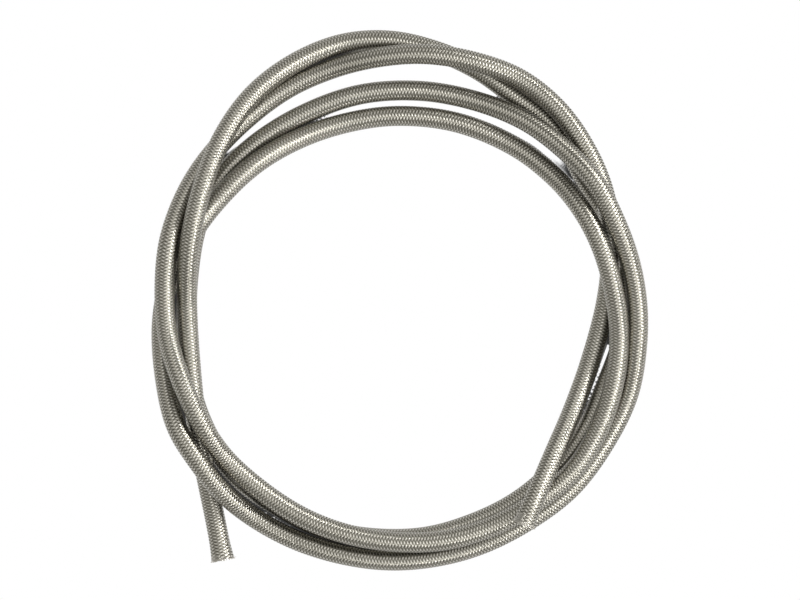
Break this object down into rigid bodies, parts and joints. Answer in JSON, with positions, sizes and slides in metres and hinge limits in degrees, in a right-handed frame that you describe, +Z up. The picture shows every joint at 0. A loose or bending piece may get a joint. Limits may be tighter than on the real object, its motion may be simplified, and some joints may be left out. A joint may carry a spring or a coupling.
{
  "type": "braided brake hose",
  "caption": "A length of stainless wire braided hydraulic hose with a smooth plastic liner, cut square at both ends and laid flat in loose loops.",
  "frame": {"origin": "middle of the hose's footprint, on the surface that it lies on", "axes": "+Z up from the surface, +Y along the longer side of the loops, away from the two cut ends"},
  "size_m": [0.1562, 0.1696, 0.0199],
  "materials": {
    "braid": "satin",
    "liner": "matte"
  },
  "bodies": {
    "root": {"wire_braid": "braid", "liner_tube": "liner"}
  },
  "joints": []
}
